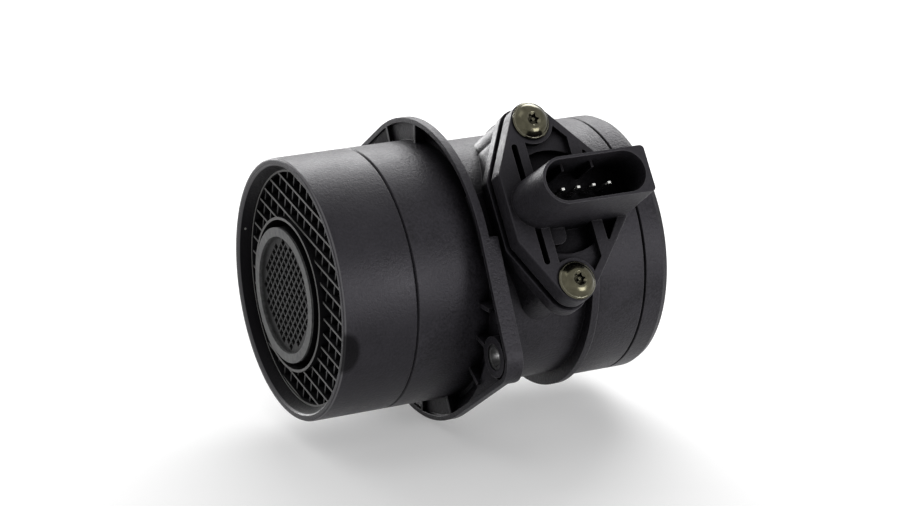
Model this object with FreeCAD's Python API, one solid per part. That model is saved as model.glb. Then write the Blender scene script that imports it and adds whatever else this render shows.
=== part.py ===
import FreeCAD, Part
import os
from math import acos, atan2, ceil, cos, hypot, pi, radians, sin, sqrt

# A mass airflow sensor for a car engine: a round plastic duct with a two-ear flange, a wide grid in the
# inlet, and a plug-in sensor screwed to a pad on the side. Lengths are in mm.
# X runs along the duct from the inlet rim at zero to the outlet. Z is up. The pad faces -Y and upwards.

V = FreeCAD.Vector

# Duct
barrel_radius = 45.1
barrel_wall = 2.5
middle_step = 2.2
middle_wall = 2.4
stub_wall = 2.9
seam_x = 27.0
stub_end_x = 123.1
stub_lead_length = 2.0
stub_lead_depth = 0.9
mouth_chamfer = 0.8
bore_step_start = 4.0
bore_step_length = 7.0
stub_step_start = 2.0
stub_step_length = 6.0
rib_x = 92.0
rib_width = 3.0
rib_height = 2.2
rib_chamfer = 0.5
bead_groove_x = 113.9
bead_groove_width = 1.1
bead_groove_depth = 0.9
seam_chamfer = 0.6

# Inlet sleeve
lip_depth = 4.3
lip_overlap = 1.1
rim_round = 0.8
rim_chamfer = 0.5
skirt_wall = 1.7
grid_seat = 1.6
spigot_length = 13.2
spigot_wall = 2.1
fit = 0.1

# Wide inlet grid
grid_angle = 12.5
long_bar_pitch = 5.5
long_bar_offset = -1.1
cross_bar_pitch = 5.3
cross_bar_offset = 2.2
grid_bar = 0.8
grid_front_x = 4.7
cross_front_x = 5.6
grid_back_x = 8.4
grid_frame_wall = 1.7
guide_gap = 3.7
guide_wall = 0.95
guide_front_x = 3.3
guide_back_x = 24.0
guide_y = 8.2
guide_z = -4.6

# Measuring tube and fine mesh
tube_gap = 2.45
tube_wall = 2.3
tube_front_x = 2.6
tube_back_x = 66.5
hoop_length = 2.2
hoop_wall = 1.9
spoke_count = 4
spoke_width = 2.6
mesh_rim_thickness = 0.7
mesh_rim_wall = 0.8
mesh_x = 3.4
mesh_thickness = 0.9
mesh_ledge = 1.0
mesh_row_pitch = 2.65
mesh_column_pitch = 3.1
mesh_web = 0.66
mesh_angle = 38.4
mesh_margin = 0.75

# Flange
flange_x = 49.4
flange_depth = 6.0
flange_lip = 2.8
flange_height = 7.9
flange_wall = 1.7
flange_web = 1.8
lip_web = 1.5
flange_foot_height = 1.5
bolt_offset = 4.7
bolt_angle = 14.3
ear_radius = 9.5
ear_corner_radius = 1.0
ear_boss_radius = 7.0
bushing_radius = 4.5
bushing_bore_radius = 3.3
bushing_recess = 0.4
rib_thickness = 1.3
rib_angles = (-14.3, 1.0, -32.0)
land_angles = (-87.0, -61.5)
land_depth = 1.5

# Sensor pad, measured from the duct axis along the pad's own axis
pad_angle = 35.0
pad_height = 6.9
pad_thickness = 4.6
pad_margin = 0.8
pad_edge_round = 0.4
pedestal_inset = 3.2
pedestal_left_inset = 1.3
pedestal_end_radius = 9.2
pedestal_end_inset = 5.7
screw_boss_margin = 0.2
bridge_half_width = 10.5
bridge_height = 1.5
screw_x = 74.8
screw_half_pitch = 28.3
pilot_radius = 2.45
pilot_depth = 18.0
socket_radius = 12.9

# Sensor plate
gasket_thickness = 2.0
gasket_inset = 1.5
gasket_socket_gap = 0.6
gasket_hole_gap = 0.2
plate_thickness = 6.6
plate_end_radius = 7.0
plate_left_x = 58.0
plate_left_half = 11.5
plate_right_x = 101.1
plate_right_half = 6.8
left_corner_radius = 1.6
right_corner_radius = 4.3
plate_edge_round = 0.5
pocket_depth = 2.2
deep_pocket_depth = 5.6
slot_edge = 7.2
slot_width = 2.2
slot_reach = 20.2
slot_rib = 3.2
pocket_width = 16.0
pocket_reach = 26.2
pocket_side_reach = 21.3
pocket_corner = 4.3
pocket_arc_x = 6.9
pocket_arc_radius = 18.3
pocket_screw_wall = 1.0
pocket_boss_width = 6.6
pocket_boss_reach = 14.6
wedge_rib = 4.0
wedge_width = 5.8
wedge_reach = 16.1
wedge_corner = 0.5
clearance_hole_radius = 2.8

# Connector
shroud_height = 22.2
shroud_half = 8.15
shroud_left_x = 61.1
shroud_right_x = 100.8
shroud_flare = 0.9
shroud_left_flare = 1.9
shroud_corner = 1.5
shroud_root = 1.0
shroud_wall = 0.95
shroud_far_wall = 1.75
shroud_depth = 18.0
key_rib_places = (-8.6, 2.5)
key_rib_width = 0.8
key_rib_height = 2.4
key_rib_drop = 6.0
terminal_pitch = 5.8
terminal_count = 4
terminal_width = 2.4
terminal_thickness = 0.8
terminal_tip_drop = 8.8
terminal_length = 40.0
terminal_point = 1.4
terminal_room = 0.03

# Probe
spigot_radius = 12.6
spigot_drop = 12.0
ring_section = 1.1
ring_room = 0.15
ring_drop = 7.4
blade_front = 11.9
blade_back = 11.3
blade_half = 4.5
blade_nose = 3.0
blade_margin = 3.2
cover_thickness = 1.2
cover_edge = 0.9
cover_top_gap = 0.6
cover_foot_edge = 1.0
bay_top_gap = 0.8
bay_foot = 12.0
board_room = 0.2
carrier_room = 0.1
bay_edge = 1.4
board_thickness = 1.0
carrier_thickness = 1.2
channel_height = 9.0
channel_half = 3.3
chip_place = 1.3
chip_width = 4.0
chip_thickness = 0.6
chip_foot_gap = 2.0
chip_lap = 5.0
chip_room = 0.05
notch_depth = 4.6
notch_top = 9.4
notch_foot = 3.4
bead_place = 2.5
bead_radius = 1.1
bead_half_length = 0.5
lead_radius = 0.25
lead_half_pitch = 0.7
lead_sink = 1.4
lead_room = 0.02

# Screws
head_radius = 6.6
head_chamfer = 0.3
collar_height = 1.1
collar_chamfer = 0.4
dome_radius = 5.7
dome_height = 1.9
dome_foot = 0.35
shank_radius = 2.4
shank_length = 23.0
point_length = 1.2
point_taper = 0.9
recess_tip_radius = 2.05
recess_root_radius = 1.48
recess_depth = 1.9
recess_countersink = 0.45
countersink_depth = 0.6
pin_radius = 0.55
pin_drop = 0.5

# How far one form runs into the next, and how far a cut runs past its face
bury = 0.4
past = 1.0

# Sizes that follow from those above
middle_radius = barrel_radius - middle_step
bore_radius = middle_radius - middle_wall
stub_bore_radius = barrel_radius - stub_wall
rib_radius = barrel_radius + rib_height
socket_bore_radius = barrel_radius - skirt_wall
grid_pocket_radius = socket_bore_radius - grid_seat
lip_bore_radius = grid_pocket_radius - lip_overlap
grid_frame_radius = grid_pocket_radius - fit
grid_inner_radius = grid_frame_radius - grid_frame_wall
tube_reach = hypot(guide_y, guide_z)
guide_radius = grid_inner_radius - guide_gap - tube_reach
tube_radius = guide_radius - guide_wall - tube_gap
mesh_seat_radius = tube_radius - tube_wall - 0.5 * fit
mesh_field_radius = mesh_seat_radius - mesh_rim_wall - mesh_margin
flange_radius = barrel_radius + flange_height
flange_foot_radius = barrel_radius + flange_foot_height
bolt_radius = flange_radius + bolt_offset
pad_top = barrel_radius + pad_height
bridge_top = barrel_radius + bridge_height
bridge_foot = sqrt(bore_radius * bore_radius - bridge_half_width * bridge_half_width) - bury
plate_bottom = pad_top + gasket_thickness
plate_top = plate_bottom + plate_thickness
shroud_top = plate_top + shroud_height
shroud_floor = shroud_top - shroud_depth
socket_x = 0.5 * (shroud_left_x + shroud_right_x)
terminal_first_x = socket_x - 0.5 * (terminal_count - 1) * terminal_pitch
spigot_x = seam_x - spigot_length
flange_back = flange_x + flange_depth
spigot_foot = plate_bottom - spigot_drop
ring_height = plate_bottom - ring_drop
cover_top = spigot_foot - cover_top_gap
bay_top = spigot_foot - bay_top_gap
channel_foot = -tube_reach - 0.5 * channel_height
channel_top = channel_foot + channel_height
blade_tip = channel_foot - blade_margin
cover_foot = blade_tip + cover_foot_edge
blade_front_x = socket_x - blade_front
blade_back_x = socket_x + blade_back
slot_x = plate_left_x + slot_edge
pocket_x = slot_x + slot_width + slot_rib
wedge_x = pocket_x + pocket_width + wedge_rib


def circle_tangent(first, second):
    # outward unit normal of the outer tangent from one circle to the next, going anticlockwise
    dx = second[0] - first[0]
    dy = second[1] - first[1]
    gap = hypot(dx, dy)
    along = (first[2] - second[2]) / gap
    side = sqrt(1.0 - along * along)
    dx = dx / gap
    dy = dy / gap
    return (dx * along + dy * side, dy * along - dx * side)


def hull_wire(circles, grow=0.0, height=0.0):
    # one closed outline round a row of circles given anticlockwise: arcs joined by tangent lines
    rounds = [(c[0], c[1], c[2] + grow) for c in circles]
    count = len(rounds)
    normals = [circle_tangent(rounds[i], rounds[(i + 1) % count]) for i in range(count)]
    edges = []
    for i in range(count):
        x, y, r = rounds[i]
        into = normals[i - 1]
        out = normals[i]
        start = V(x + r * into[0], y + r * into[1], height)
        end = V(x + r * out[0], y + r * out[1], height)
        a0 = atan2(into[1], into[0])
        a1 = atan2(out[1], out[0])
        while a1 < a0 - 1e-9:
            a1 += 2.0 * pi
        mid = 0.5 * (a0 + a1)
        edges.append(Part.Arc(start, V(x + r * cos(mid), y + r * sin(mid), height), end).toShape())
        nx, ny, nr = rounds[(i + 1) % count]
        follow = V(nx + nr * out[0], ny + nr * out[1], height)
        edges.append(Part.makeLine(end, follow))
    return Part.Wire(edges)


def hull_solid(circles, grow, low, high):
    return Part.Face(hull_wire(circles, grow, low)).extrude(V(0, 0, high - low))


def eased(shape, height, radius):
    # rounds the outer edge of a flat-topped body at one height
    edges = [e for e in shape.Edges if all(abs(v.Z - height) < 1e-6 for v in e.Vertexes)]
    return shape.makeFillet(radius, edges)


def across(shape):
    # turns a shape drawn in XY and raised along Z so that it lies in YZ and runs along X
    turned_shape = shape.copy()
    turned_shape.Placement = FreeCAD.Placement(V(0, 0, 0), FreeCAD.Rotation(V(1, 1, 1), 120))
    return turned_shape


def to_pad(shape):
    # turns a shape drawn with Z as the pad's axis and Y across the pad to its place on the duct
    placed = shape.copy()
    placed.rotate(V(0, 0, 0), V(1, 0, 0), 90.0 - pad_angle)
    return placed


def turned(points):
    # a body of revolution about X from (x, radius) points
    corners = [V(x, 0, r) for x, r in points]
    face = Part.Face(Part.makePolygon(corners + [corners[0]]))
    return face.revolve(V(0, 0, 0), V(1, 0, 0), 360)


def rod(radius, x0, x1, y=0.0, z=0.0):
    return Part.makeCylinder(radius, x1 - x0, V(x0, y, z), V(1, 0, 0))


def post(radius, low, high, x, y):
    return Part.makeCylinder(radius, high - low, V(x, y, low), V(0, 0, 1))


def block(x0, x1, y0, y1, z0, z1):
    return Part.makeBox(x1 - x0, y1 - y0, z1 - z0, V(x0, y0, z0))


def ear_places():
    # the two ears lie opposite each other, the near one slightly below the duct axis
    a = radians(bolt_angle)
    return [(bolt_radius * cos(a), bolt_radius * sin(a)), (-bolt_radius * cos(a), -bolt_radius * sin(a))]


def flange_circles():
    far, near = ear_places()
    round_part = (0.0, 0.0, flange_radius)
    return [(far[0], far[1], ear_radius), round_part, (near[0], near[1], ear_radius), round_part]


def ear_region(grow, low, high):
    # the deep parts of the flange, one round each bolt and on to where its side nearer the pad meets the round part
    spread = acos((flange_radius - ear_radius) / bolt_radius)
    corner = ear_corner_radius
    parts = []
    for turn in (radians(bolt_angle), radians(bolt_angle) + pi):
        ear = (bolt_radius * cos(turn), bolt_radius * sin(turn), ear_radius + grow)
        reach = flange_radius + grow - corner
        side = (reach * cos(turn - spread), reach * sin(turn - spread), corner)
        inner = (0.5 * middle_radius * cos(turn), 0.5 * middle_radius * sin(turn), corner)
        parts.append(hull_solid([ear, inner, side], 0.0, low, high))
    return across(parts[0].fuse(parts[1]))


def flange_body():
    core = 0.5 * middle_radius
    rounded = turned([(flange_x, core), (flange_x, flange_radius), (flange_x + flange_lip, flange_radius),
                      (flange_back, flange_foot_radius), (flange_back, core)])
    ears = across(hull_solid(flange_circles(), 0.0, flange_x, flange_x + flange_lip))
    return rounded.fuse(ears).fuse(ear_region(0.0, flange_x, flange_back))


def flange_pocket():
    floor = flange_back - flange_web
    lip_floor = flange_x + flange_lip - lip_web
    inner = flange_radius - flange_wall
    rounded = turned([(flange_x - past, barrel_radius), (flange_x - past, inner), (lip_floor, inner),
                      (floor, flange_foot_radius), (floor, barrel_radius)])
    shallow = across(hull_solid(flange_circles(), -flange_wall, flange_x - past, lip_floor))
    deep = ear_region(-flange_wall, flange_x - past, floor)
    return rounded.fuse(shallow.fuse(deep).cut(rod(barrel_radius, flange_x - 2.0 * past, floor + past)))


def radial_rib(angle):
    # a thin upright rib from the barrel to the flange's rim, at an angle above the near side of the duct
    floor = flange_back - flange_web + bury
    half = 0.5 * rib_thickness
    rib = block(flange_x, floor, 0.5 * flange_wall - flange_radius, bury - barrel_radius, -half, half)
    rib.rotate(V(0, 0, 0), V(1, 0, 0), -angle)
    return rib


def land(low_angle, high_angle):
    # a raised part of the pocket floor between two ribs
    floor = flange_back - flange_web + bury
    inner = flange_radius - flange_wall + bury
    points = [(flange_x + land_depth, barrel_radius - bury), (flange_x + land_depth, inner),
              (floor, flange_foot_radius), (floor, barrel_radius - bury)]
    corners = [V(x, -r, 0) for x, r in points]
    sector = Part.Face(Part.makePolygon(corners + [corners[0]]))
    sector = sector.revolve(V(0, 0, 0), V(1, 0, 0), high_angle - low_angle)
    sector.rotate(V(0, 0, 0), V(1, 0, 0), -high_angle)
    return sector


def flange_details():
    parts = []
    for turn in (0.0, 180.0):
        for angle in rib_angles + land_angles:
            parts.append(radial_rib(angle + turn))
        parts.append(land(land_angles[0] + turn, land_angles[1] + turn))
    for y, z in ear_places():
        parts.append(rod(ear_boss_radius, flange_x, flange_back, y, z))
    body = parts[0].multiFuse(parts[1:])
    return body.common(flange_body().fuse(rod(barrel_radius, flange_x, flange_back)))


def pad_circles():
    left = plate_left_x + left_corner_radius
    right = plate_right_x - right_corner_radius
    return [
        (screw_x, screw_half_pitch, plate_end_radius),
        (left, plate_left_half, left_corner_radius),
        (left, -plate_left_half, left_corner_radius),
        (screw_x, -screw_half_pitch, plate_end_radius),
        (right, -plate_right_half, right_corner_radius),
        (right, plate_right_half, right_corner_radius),
    ]


def pad_solid():
    pad_low = pad_top - pad_thickness
    flat = hull_solid(pad_circles(), pad_margin, pad_low, pad_top)
    flat = eased(flat, pad_top, pad_edge_round)
    corner = 0.5 * right_corner_radius
    left = plate_left_x + pedestal_left_inset + corner
    right = plate_right_x - pedestal_inset - corner
    end = screw_half_pitch - pedestal_end_inset
    foot = [
        (screw_x, end, pedestal_end_radius),
        (left, plate_left_half - corner, corner),
        (left, -plate_left_half + corner, corner),
        (screw_x, -end, pedestal_end_radius),
        (right, -plate_right_half + corner, corner),
        (right, plate_right_half - corner, corner),
    ]
    wall = hull_solid(foot, 0.0, 0.0, pad_low + bury)
    boss = post(plate_end_radius + screw_boss_margin, 0.0, pad_low + bury, screw_x, screw_half_pitch)
    bridge = block(flange_x + flange_lip, left + corner, -bridge_half_width, bridge_half_width, bridge_foot, bridge_top)
    return to_pad(flat.multiFuse([wall, boss, bridge]))


def pad_cuts():
    cuts = [post(socket_radius, 0.0, pad_top + past, socket_x, 0.0)]
    for side in (1.0, -1.0):
        cuts.append(post(pilot_radius, pad_top - pilot_depth, pad_top + past, screw_x, side * screw_half_pitch))
    return to_pad(cuts[0].multiFuse(cuts[1:]))


def main_housing():
    groove0 = bead_groove_x - 0.5 * bead_groove_width
    groove1 = bead_groove_x + 0.5 * bead_groove_width
    groove_radius = barrel_radius - bead_groove_depth
    core = 0.5 * bore_radius
    step = flange_x + 0.5 * flange_depth
    outside = turned([
        (spigot_x, core),
        (spigot_x, socket_bore_radius - fit),
        (seam_x, socket_bore_radius - fit),
        (seam_x, barrel_radius - seam_chamfer),
        (seam_x + seam_chamfer, barrel_radius),
        (step, barrel_radius),
        (step, middle_radius),
        (rib_x, middle_radius),
        (rib_x, rib_radius),
        (rib_x + rib_width - rib_chamfer, rib_radius),
        (rib_x + rib_width, rib_radius - rib_chamfer),
        (rib_x + rib_width, barrel_radius),
        (groove0, barrel_radius),
        (bead_groove_x, groove_radius),
        (groove1, barrel_radius),
        (stub_end_x - stub_lead_length, barrel_radius),
        (stub_end_x, barrel_radius - stub_lead_depth),
        (stub_end_x, core),
    ])
    solid = outside.fuse(flange_body())
    solid = solid.cut(flange_pocket())
    solid = solid.fuse(flange_details())
    solid = solid.fuse(pad_solid())
    front_bore = socket_bore_radius - fit - spigot_wall
    bore_step_x = flange_x - bore_step_start
    stub_step_x = rib_x + stub_step_start
    bore = turned([
        (spigot_x - past, 0.0),
        (spigot_x - past, front_bore),
        (bore_step_x, front_bore),
        (bore_step_x + bore_step_length, bore_radius),
        (stub_step_x, bore_radius),
        (stub_step_x + stub_step_length, stub_bore_radius),
        (stub_end_x - mouth_chamfer, stub_bore_radius),
        (stub_end_x + past, stub_bore_radius + mouth_chamfer + past),
        (stub_end_x + past, 0.0),
    ])
    solid = solid.cut(bore)
    solid = solid.cut(pad_cuts())
    for y, z in ear_places():
        solid = solid.cut(rod(bushing_radius + 0.5 * fit, flange_x - past, flange_back + past, y, z))
    return solid.removeSplitter()


def inlet_sleeve():
    rim_bore = barrel_radius - barrel_wall
    return turned([
        (0.0, rim_bore + rim_chamfer),
        (0.0, barrel_radius - rim_round),
        (0.25 * rim_round, barrel_radius - 0.35 * rim_round),
        (rim_round, barrel_radius),
        (seam_x - seam_chamfer, barrel_radius),
        (seam_x, barrel_radius - seam_chamfer),
        (seam_x, socket_bore_radius),
        (spigot_x, socket_bore_radius),
        (spigot_x, grid_pocket_radius),
        (lip_depth, grid_pocket_radius),
        (lip_depth, lip_bore_radius),
        (rim_chamfer, rim_bore),
    ])


def bar_field(front, back, pitch, offset, reach):
    # parallel bars across the whole inlet, standing at one pitch
    count = int(ceil(reach / pitch))
    bars = []
    for i in range(-count, count + 1):
        centre = i * pitch + offset
        bars.append(block(front, back, -reach, reach, centre - 0.5 * grid_bar, centre + 0.5 * grid_bar))
    return Part.makeCompound(bars)


def inlet_grid():
    frame = rod(grid_frame_radius, lip_depth, spigot_x)
    frame = frame.cut(rod(grid_inner_radius, lip_depth - past, spigot_x + past))
    guide = rod(guide_radius, guide_front_x, guide_back_x, guide_y, guide_z)
    hollow = rod(guide_radius - guide_wall, guide_front_x - past, guide_back_x + past, guide_y, guide_z)
    clear = rod(grid_inner_radius + bury, grid_front_x, grid_back_x)
    clear = clear.cut(rod(guide_radius - bury, grid_front_x - past, grid_back_x + past, guide_y, guide_z))
    long_bars = bar_field(grid_front_x, grid_back_x, long_bar_pitch, long_bar_offset, grid_inner_radius)
    long_bars.rotate(V(0, 0, 0), V(1, 0, 0), grid_angle)
    cross_bars = bar_field(cross_front_x, grid_back_x, cross_bar_pitch, cross_bar_offset, grid_inner_radius)
    cross_bars.rotate(V(0, 0, 0), V(1, 0, 0), grid_angle + 90.0)
    bars = long_bars.common(clear).fuse(cross_bars.common(clear))
    body = frame.fuse(bars)
    body = body.fuse(guide.cut(hollow))
    return body.removeSplitter()


def measuring_tube():
    bore = tube_radius - tube_wall
    back = guide_back_x + hoop_length
    ledge_x = mesh_x + mesh_thickness
    shell = rod(tube_radius, tube_front_x, tube_back_x, guide_y, guide_z)
    hoop = rod(guide_radius, guide_back_x, back, guide_y, guide_z)
    hoop = hoop.cut(rod(guide_radius - hoop_wall, guide_back_x - past, back + past, guide_y, guide_z))
    body = shell.fuse(hoop)
    for i in range(spoke_count):
        spoke = block(guide_back_x, back, tube_radius - 0.5 * tube_wall, guide_radius - 0.5 * hoop_wall,
                      -0.5 * spoke_width, 0.5 * spoke_width)
        spoke.rotate(V(0, 0, 0), V(1, 0, 0), 45.0 + i * 360.0 / spoke_count)
        spoke.translate(V(0, guide_y, guide_z))
        body = body.fuse(spoke)
    body = body.cut(rod(bore, tube_front_x - past, ledge_x, guide_y, guide_z))
    body = body.cut(rod(bore - mesh_ledge, ledge_x - past, tube_back_x + past, guide_y, guide_z))
    return body.removeSplitter()


def fine_mesh():
    # a pressed-in insert: a thin rim over the tube's end, a short wall in its bore and a perforated disc
    back = mesh_x + mesh_thickness
    disc = rod(tube_radius, tube_front_x - mesh_rim_thickness, tube_front_x)
    disc = disc.fuse(rod(mesh_seat_radius, tube_front_x, back))
    disc = disc.cut(rod(mesh_seat_radius - mesh_rim_wall, tube_front_x - past, mesh_x))
    half_row = 0.5 * (mesh_row_pitch - mesh_web)
    half_column = 0.5 * (mesh_column_pitch - mesh_web)
    rows = int(mesh_field_radius / mesh_row_pitch) + 1
    columns = int(mesh_field_radius / mesh_column_pitch) + 1
    holes = []
    for i in range(-rows, rows + 1):
        for j in range(-columns, columns + 1):
            y = i * mesh_row_pitch
            z = j * mesh_column_pitch
            if hypot(y, z) + half_column < mesh_field_radius:
                holes.append(block(mesh_x - past, back + past, y - half_row, y + half_row,
                                   z - half_column, z + half_column))
    field = Part.makeCompound(holes)
    field.rotate(V(0, 0, 0), V(1, 0, 0), mesh_angle)
    disc = disc.cut(field)
    disc.translate(V(0, guide_y, guide_z))
    return disc


def pocket_outlines():
    # upright prisms for the open pockets on the upper side of the connector, as (prism, depth) pairs
    low = shroud_half - bury
    top = plate_top + past
    r = 0.5 * slot_width
    slot = block(slot_x, slot_x + slot_width, low, slot_reach, 0.0, top)
    slot = slot.fuse(post(r, 0.0, top, slot_x + r, slot_reach))
    right = pocket_x + pocket_width
    wide_points = [(pocket_x, low), (right, low), (right, pocket_side_reach),
                   (right - pocket_corner, pocket_reach), (pocket_x, pocket_reach)]
    corners = [V(x, y, 0) for x, y in wide_points]
    wide = Part.Face(Part.makePolygon(corners + [corners[0]])).extrude(V(0, 0, top))
    wide = wide.cut(post(plate_end_radius + pocket_screw_wall, -past, top + past, screw_x, screw_half_pitch))
    deep = wide.common(post(pocket_arc_radius, 0.0, top, pocket_x + pocket_arc_x, 0.0))
    tip = wedge_corner
    wedge = hull_solid([(wedge_x + tip, wedge_reach - tip, tip), (wedge_x + tip, low + tip, tip),
                        (wedge_x + wedge_width, low + tip, tip)], 0.0, 0.0, top)
    return slot, wide, deep, wedge


def pocket_boss():
    # a rounded block left standing in the lower deep pocket
    r = 0.5 * pocket_boss_width
    centre_y = pocket_boss_reach - r
    right = pocket_x + pocket_boss_width
    top = plate_top + past
    boss = block(pocket_x - past, right - r, 0.0, pocket_boss_reach, 0.0, top)
    boss = boss.fuse(block(pocket_x - past, right, 0.0, centre_y, 0.0, top))
    return boss.fuse(post(r, 0.0, top, right - r, centre_y))


def pockets(side):
    # everything that is sunk into the plate on one side of the connector
    slot, wide, deep, wedge = pocket_outlines()
    if side < 0:
        deep = deep.cut(pocket_boss())
    sunk = []
    for shape, depth in ((slot, deep_pocket_depth), (wide, pocket_depth),
                         (deep, deep_pocket_depth), (wedge, deep_pocket_depth)):
        part = shape.common(block(plate_left_x, plate_right_x, -pocket_reach, pocket_reach,
                                  plate_top - depth, plate_top + past))
        if side < 0:
            part = part.mirror(V(0, 0, 0), V(0, 1, 0))
        sunk.append(part)
    return sunk


def shroud_wire(height, left, flare):
    # the connector's outline: a round near end and a square far end with small corners
    half = shroud_half + flare
    right = shroud_right_x
    c = shroud_corner
    start = left + half
    s = c * (1.0 - sqrt(0.5))
    edges = [
        Part.Arc(V(start, half, height), V(left, 0, height), V(start, -half, height)).toShape(),
        Part.makeLine(V(start, -half, height), V(right - c, -half, height)),
        Part.Arc(V(right - c, -half, height), V(right - s, -half + s, height), V(right, -half + c, height)).toShape(),
        Part.makeLine(V(right, -half + c, height), V(right, half - c, height)),
        Part.Arc(V(right, half - c, height), V(right - s, half - s, height), V(right - c, half, height)).toShape(),
        Part.makeLine(V(right - c, half, height), V(start, half, height)),
    ]
    return Part.Wire(edges)


def terminal(index, grow=0.0):
    # a flat blade with a tapered tip; the slot for it is the same blade made slightly larger
    centre = terminal_first_x + index * terminal_pitch
    half = 0.5 * terminal_width + grow
    tip = shroud_top - terminal_tip_drop
    low = tip - terminal_length
    points = [
        (centre - half, low),
        (centre + half, low),
        (centre + half, tip - terminal_point),
        (centre + 0.45 * half, tip),
        (centre - 0.45 * half, tip),
        (centre - half, tip - terminal_point),
    ]
    corners = [V(x, -terminal_thickness - grow, h) for x, h in points]
    face = Part.Face(Part.makePolygon(corners + [corners[0]]))
    return face.extrude(V(0, terminal_thickness + 2.0 * grow, 0))


def blade_wire(height):
    front = blade_front_x
    nose = blade_nose
    h = blade_half
    edges = [
        Part.Arc(V(front + nose, h, height), V(front, 0, height), V(front + nose, -h, height)).toShape(),
        Part.makeLine(V(front + nose, -h, height), V(blade_back_x, -h, height)),
        Part.makeLine(V(blade_back_x, -h, height), V(blade_back_x, h, height)),
        Part.makeLine(V(blade_back_x, h, height), V(front + nose, h, height)),
    ]
    return Part.Wire(edges)


def cover_box(grow, outward):
    return block(blade_front_x + blade_nose - grow, blade_back_x - cover_edge + grow, -blade_half - outward,
                 cover_thickness - blade_half, cover_foot - grow, cover_top + grow)


def bay_box(y0, y1, shrink=0.0):
    return block(blade_front_x + bay_edge + shrink, blade_back_x - bay_edge - shrink, y0, y1,
                 bay_foot + shrink, bay_top - shrink)


def chip_box(grow=0.0):
    half = 0.5 * chip_width + grow
    x = socket_x + chip_place
    return block(x - half, x + half, -chip_thickness - grow, grow, channel_foot + chip_foot_gap, bay_foot + chip_lap)


def thermistor_leads(radius, over):
    x = blade_front_x + bead_place
    low = notch_foot - over
    high = notch_top + over
    return [post(radius, low, high, x, side * lead_half_pitch) for side in (-1.0, 1.0)]


def sensor_body():
    plate = eased(hull_solid(pad_circles(), 0.0, plate_bottom, plate_top), plate_top, plate_edge_round)
    for side in (1.0, -1.0):
        for pocket in pockets(side):
            plate = plate.cut(pocket)
    base = shroud_wire(plate_bottom + shroud_root, shroud_left_x - shroud_left_flare, shroud_flare)
    mouth = shroud_wire(shroud_top, shroud_left_x, 0.0)
    plate = plate.fuse(Part.makeLoft([base, mouth], True, True))
    plate = plate.fuse(post(spigot_radius, spigot_foot, plate_bottom + bury, socket_x, 0.0))
    plate = plate.fuse(Part.Face(blade_wire(blade_tip)).extrude(V(0, 0, spigot_foot + bury - blade_tip)))
    cavity_radius = shroud_half - shroud_wall
    cavity = hull_solid(
        [(shroud_right_x - shroud_far_wall - cavity_radius, 0.0, cavity_radius),
         (shroud_left_x + shroud_wall + cavity_radius, 0.0, cavity_radius)],
        0.0, shroud_floor, shroud_top + past)
    plate = plate.cut(cavity)
    for place in key_rib_places:
        x = socket_x + place
        rib = block(x - 0.5 * key_rib_width, x + 0.5 * key_rib_width, cavity_radius - key_rib_height,
                    cavity_radius + bury, shroud_floor - bury, shroud_top - key_rib_drop)
        plate = plate.fuse(rib)
    cuts = []
    for side in (1.0, -1.0):
        y = side * screw_half_pitch
        cuts.append(post(clearance_hole_radius, plate_bottom - past, plate_top + past, screw_x, y))
    groove_half = ring_section + ring_room
    groove = post(spigot_radius + past, ring_height - groove_half, ring_height + groove_half, socket_x, 0.0)
    groove_floor = socket_radius - 0.5 * fit - 2.0 * ring_section
    cuts.append(groove.cut(post(groove_floor, spigot_foot, plate_bottom, socket_x, 0.0)))
    cuts.append(cover_box(fit, past))
    cuts.append(bay_box(-blade_half, board_thickness + carrier_thickness))
    front = blade_front_x - past
    cuts.append(block(front, blade_back_x + past, -channel_half, channel_half, channel_foot, channel_top))
    cuts.append(chip_box(chip_room))
    cuts.append(block(front, blade_front_x + notch_depth, -blade_half - past, blade_half + past,
                      notch_foot, notch_top))
    cuts.extend(thermistor_leads(lead_radius + lead_room, lead_sink + lead_room))
    for i in range(terminal_count):
        cuts.append(terminal(i, terminal_room))
    for cut in cuts:
        plate = plate.cut(cut)
    return to_pad(plate.removeSplitter())


def pad_gasket():
    seal = hull_solid(pad_circles(), -gasket_inset, pad_top, plate_bottom)
    low = pad_top - past
    high = plate_bottom + past
    seal = seal.cut(post(socket_radius + gasket_socket_gap, low, high, socket_x, 0.0))
    for side in (1.0, -1.0):
        seal = seal.cut(post(clearance_hole_radius + gasket_hole_gap, low, high, screw_x, side * screw_half_pitch))
    return to_pad(seal)


def probe_seal_ring():
    centre = V(socket_x, 0, ring_height)
    return to_pad(Part.makeTorus(socket_radius - 0.5 * fit - ring_section, ring_section, centre, V(0, 0, 1)))


def probe_cover():
    return to_pad(cover_box(0.0, 0.0))


def circuit_board():
    return to_pad(bay_box(0.0, board_thickness, board_room))


def carrier_plate():
    return to_pad(bay_box(board_thickness, board_thickness + carrier_thickness, carrier_room))


def sensing_element():
    return to_pad(chip_box())


def air_temperature_bead():
    x = blade_front_x + bead_place
    middle = 0.5 * (notch_foot + notch_top)
    low = middle - bead_half_length
    high = middle + bead_half_length
    bead = Part.makeSphere(bead_radius, V(x, 0, low))
    bead = bead.fuse(Part.makeSphere(bead_radius, V(x, 0, high)))
    bead = bead.fuse(post(bead_radius, low, high, x, 0.0))
    for lead in thermistor_leads(lead_radius, lead_sink):
        bead = bead.fuse(lead)
    return to_pad(bead)


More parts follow.
